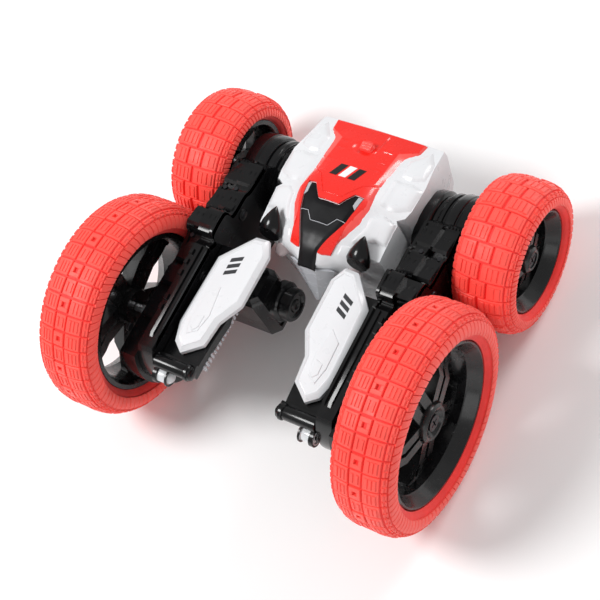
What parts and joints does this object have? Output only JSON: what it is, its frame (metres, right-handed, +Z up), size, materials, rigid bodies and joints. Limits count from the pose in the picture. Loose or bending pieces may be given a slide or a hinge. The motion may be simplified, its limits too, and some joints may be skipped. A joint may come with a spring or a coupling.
{
  "type": "rc stunt car",
  "caption": "Radio-controlled stunt car: a white and red body between two swinging black side arms, each with a large and a small geared wheel in red rubber tyres.",
  "frame": {"origin": "middle of the car's footprint, on the ground under the tyres", "axes": "+Z up, -Y towards the nose, +X towards the car's own left side"},
  "size_m": [0.1416, 0.1372, 0.08],
  "materials": {
    "tyre_rubber": "soft coral-red rubber with a blocked tread",
    "black_gloss": "glossy black moulded plastic",
    "black_satin": "satin black moulded plastic",
    "white_shell": "glossy white moulded plastic",
    "red_cover": "semi-gloss red moulded plastic",
    "grey_plastic": "light grey moulded plastic",
    "steel": "plain turned steel",
    "nylon": "natural nylon",
    "clear_lens": "clear moulded lens",
    "board_green": "green circuit board",
    "battery_wrap": "blue shrink wrap"
  },
  "bodies": {
    "body": {"upper_shell": "white_shell", "lower_shell": "white_shell", "top_cover": "red_cover", "windshield_front": "black_gloss", "windshield_rear": "black_gloss", "nose_chin": "grey_plastic", "power_switch_body": "black_satin", "circuit_board": "board_green", "battery_pack": "battery_wrap", "battery_door": "white_shell", "battery_door_screw": "steel", "left_ear_pod": "black_gloss", "left_eye_lamp": "clear_lens", "left_pivot_hub": "black_satin", "right_ear_pod": "black_gloss", "right_eye_lamp": "clear_lens", "right_pivot_hub": "black_satin"},
    "switch_knob": {"power_switch_knob": "red_cover"},
    "left_arm": {"left_inner_gear_case": "black_gloss", "left_outer_gear_case": "black_gloss", "left_drive_motor": "steel", "left_motor_housing": "black_satin", "left_arm_bracket": "black_gloss", "left_wing_cover": "white_shell", "left_lamp_lens": "clear_lens"},
    "left_front_wheel": {"left_front_tyre": "tyre_rubber", "left_front_rim": "black_gloss", "left_front_axle": "steel", "left_front_hub_screw": "steel", "left_front_axle_gear": "nylon"},
    "left_rear_wheel": {"left_rear_tyre": "tyre_rubber", "left_rear_rim": "black_gloss", "left_rear_axle": "steel", "left_rear_hub_screw": "steel", "left_rear_axle_gear": "nylon"},
    "left_first_idler": {"left_first_idler_gear": "nylon"},
    "left_middle_idler": {"left_middle_idler_gear": "nylon"},
    "left_rear_idler": {"left_rear_idler_gear": "nylon"},
    "left_pinion": {"left_motor_pinion": "steel"},
    "right_arm": {"right_inner_gear_case": "black_gloss", "right_outer_gear_case": "black_gloss", "right_drive_motor": "steel", "right_motor_housing": "black_satin", "right_arm_bracket": "black_gloss", "right_wing_cover": "white_shell", "right_lamp_lens": "clear_lens"},
    "right_front_wheel": {"right_front_tyre": "tyre_rubber", "right_front_rim": "black_gloss", "right_front_axle": "steel", "right_front_hub_screw": "steel", "right_front_axle_gear": "nylon"},
    "right_rear_wheel": {"right_rear_tyre": "tyre_rubber", "right_rear_rim": "black_gloss", "right_rear_axle": "steel", "right_rear_hub_screw": "steel", "right_rear_axle_gear": "nylon"},
    "right_first_idler": {"right_first_idler_gear": "nylon"},
    "right_middle_idler": {"right_middle_idler_gear": "nylon"},
    "right_rear_idler": {"right_rear_idler_gear": "nylon"},
    "right_pinion": {"right_motor_pinion": "steel"}
  },
  "joints": [
    {"name": "left_arm_swing", "type": "hinge", "parent": "body", "child": "left_arm", "pos_m": [0.03, 0.04115, 0.0275], "axis": [1, 0, 0], "range_deg": [-100, 100]},
    {"name": "left_front_spin", "type": "hinge", "parent": "left_arm", "child": "left_front_wheel", "pos_m": [0.0594, -0.02865, 0.04], "axis": [1, 0, 0], "continuous": true},
    {"name": "left_rear_spin", "type": "hinge", "parent": "left_arm", "child": "left_rear_wheel", "pos_m": [0.059, 0.04115, 0.0275], "axis": [1, 0, 0], "continuous": true},
    {"name": "left_first_idler_spin", "type": "hinge", "parent": "left_arm", "child": "left_first_idler", "pos_m": [0.042, -0.01096, 0.03594], "axis": [1, 0, 0], "continuous": true},
    {"name": "left_middle_idler_spin", "type": "hinge", "parent": "left_arm", "child": "left_middle_idler", "pos_m": [0.042, 0.00746, 0.03271], "axis": [1, 0, 0], "continuous": true},
    {"name": "left_rear_idler_spin", "type": "hinge", "parent": "left_arm", "child": "left_rear_idler", "pos_m": [0.042, 0.02588, 0.02948], "axis": [1, 0, 0], "continuous": true},
    {"name": "left_pinion_spin", "type": "hinge", "parent": "left_arm", "child": "left_pinion", "pos_m": [0.0365, -0.0033, 0.026], "axis": [1, 0, 0], "continuous": true},
    {"name": "right_arm_swing", "type": "hinge", "parent": "body", "child": "right_arm", "pos_m": [-0.03, 0.04115, 0.0275], "axis": [1, 0, 0], "range_deg": [-100, 100]},
    {"name": "right_front_spin", "type": "hinge", "parent": "right_arm", "child": "right_front_wheel", "pos_m": [-0.0594, -0.02865, 0.04], "axis": [1, 0, 0], "continuous": true},
    {"name": "right_rear_spin", "type": "hinge", "parent": "right_arm", "child": "right_rear_wheel", "pos_m": [-0.059, 0.04115, 0.0275], "axis": [1, 0, 0], "continuous": true},
    {"name": "right_first_idler_spin", "type": "hinge", "parent": "right_arm", "child": "right_first_idler", "pos_m": [-0.042, -0.01096, 0.03594], "axis": [1, 0, 0], "continuous": true},
    {"name": "right_middle_idler_spin", "type": "hinge", "parent": "right_arm", "child": "right_middle_idler", "pos_m": [-0.042, 0.00746, 0.03271], "axis": [1, 0, 0], "continuous": true},
    {"name": "right_rear_idler_spin", "type": "hinge", "parent": "right_arm", "child": "right_rear_idler", "pos_m": [-0.042, 0.02588, 0.02948], "axis": [1, 0, 0], "continuous": true},
    {"name": "right_pinion_spin", "type": "hinge", "parent": "right_arm", "child": "right_pinion", "pos_m": [-0.0365, -0.0033, 0.026], "axis": [1, 0, 0], "continuous": true},
    {"name": "switch_slide", "type": "slide", "parent": "body", "child": "switch_knob", "axis": [0, 1, 0], "range_m": [-0.0019, 0]}
  ],
  "couplings": [
    {"joint": "left_rear_spin", "follows": "left_front_spin", "ratio": 1.4545},
    {"joint": "left_first_idler_spin", "follows": "left_front_spin", "ratio": -0.94118},
    {"joint": "left_middle_idler_spin", "follows": "left_front_spin", "ratio": 0.94118},
    {"joint": "left_rear_idler_spin", "follows": "left_front_spin", "ratio": -0.94118},
    {"joint": "left_pinion_spin", "follows": "left_front_spin", "ratio": 4.2353},
    {"joint": "right_rear_spin", "follows": "right_front_spin", "ratio": 1.4545},
    {"joint": "right_first_idler_spin", "follows": "right_front_spin", "ratio": -0.94118},
    {"joint": "right_middle_idler_spin", "follows": "right_front_spin", "ratio": 0.94118},
    {"joint": "right_rear_idler_spin", "follows": "right_front_spin", "ratio": -0.94118},
    {"joint": "right_pinion_spin", "follows": "right_front_spin", "ratio": 4.2353}
  ]
}
